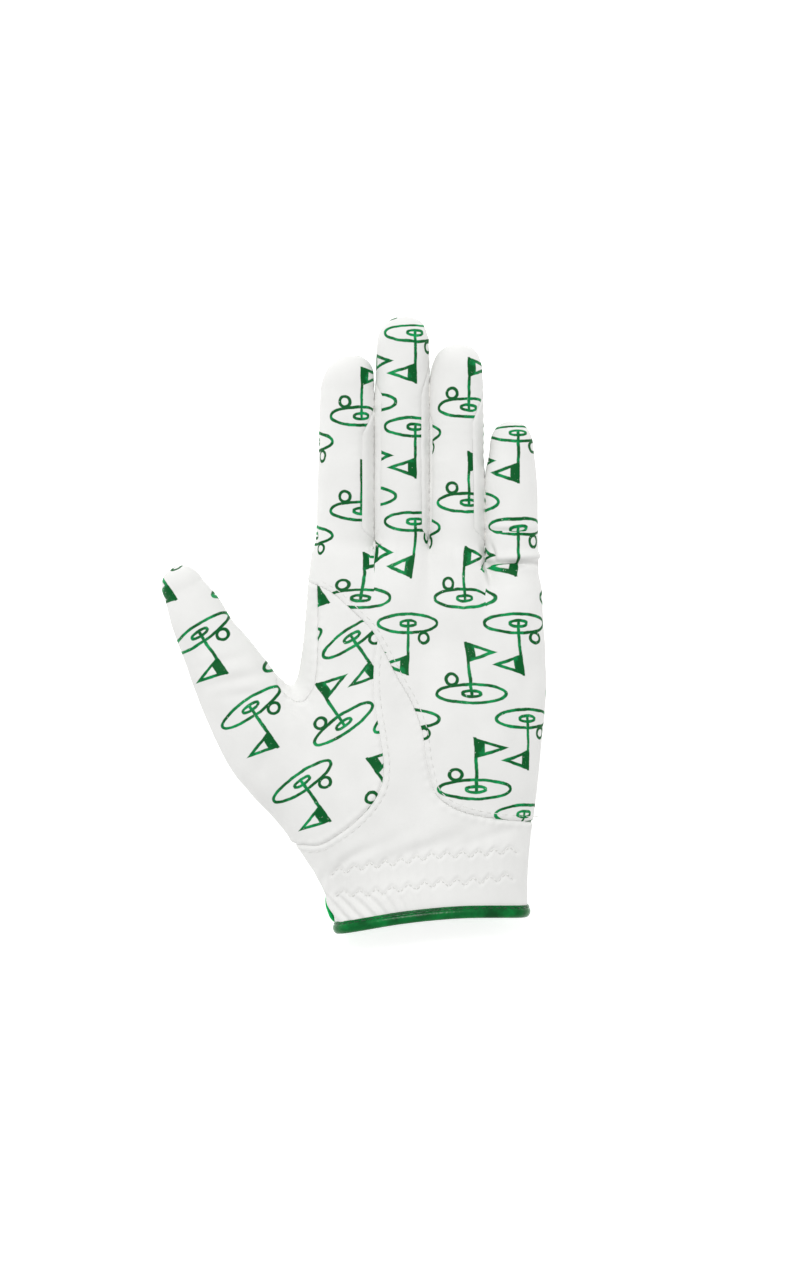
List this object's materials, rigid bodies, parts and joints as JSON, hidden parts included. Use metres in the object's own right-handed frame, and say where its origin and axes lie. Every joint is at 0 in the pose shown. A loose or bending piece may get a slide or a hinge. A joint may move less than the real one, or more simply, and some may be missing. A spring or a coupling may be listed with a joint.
{
  "type": "golf glove",
  "caption": "Left-hand leather golf glove shell with set-in thumb, finger side strips, elastic wrist and a hook-and-loop closure tab.",
  "frame": {"origin": "on the table under the middle of the glove's box, the glove lying on its back", "axes": "+X towards the little finger's side, +Y to the fingertips, +Z out of the palm"},
  "size_m": [0.1382, 0.2227, 0.0299],
  "materials": {
    "printed_leather": "soft white cabretta with a green line print",
    "white_leather": "soft white cabretta",
    "green_binding": "dark green coated binding, satin",
    "green_tab": "bright green synthetic leather, satin",
    "green_pile": "hook and loop tape",
    "white_elastic": "knitted elastic",
    "white_thread": "polyester sewing thread"
  },
  "bodies": {
    "glove": {"palm_trank": "printed_leather", "thumb_thenar_panel": "printed_leather", "index_side_quirk": "white_leather", "heel_wrist_panel": "white_leather", "back_trank": "printed_leather", "thumb_back_panel": "printed_leather", "fourchette_index_ulnar": "white_leather", "fourchette_middle_radial": "white_leather", "fourchette_middle_ulnar": "white_leather", "fourchette_ring_radial": "white_leather", "fourchette_ring_ulnar": "white_leather", "fourchette_little_radial": "white_leather", "cuff_binding": "green_binding", "slit_facing": "green_binding", "wrist_elastic": "white_elastic", "zigzag_thread_upper": "white_thread", "zigzag_thread_lower": "white_thread", "loop_pad": "green_pile", "tab_anchor": "green_tab"},
    "tab": {"hook_pad": "green_pile", "closure_tab": "green_tab"}
  },
  "joints": [
    {"name": "tab_open", "type": "hinge", "parent": "glove", "child": "tab", "pos_m": [0.04215, -0.091, 0.0014], "axis": [0, -1, 0], "range_deg": [0, 150]}
  ]
}
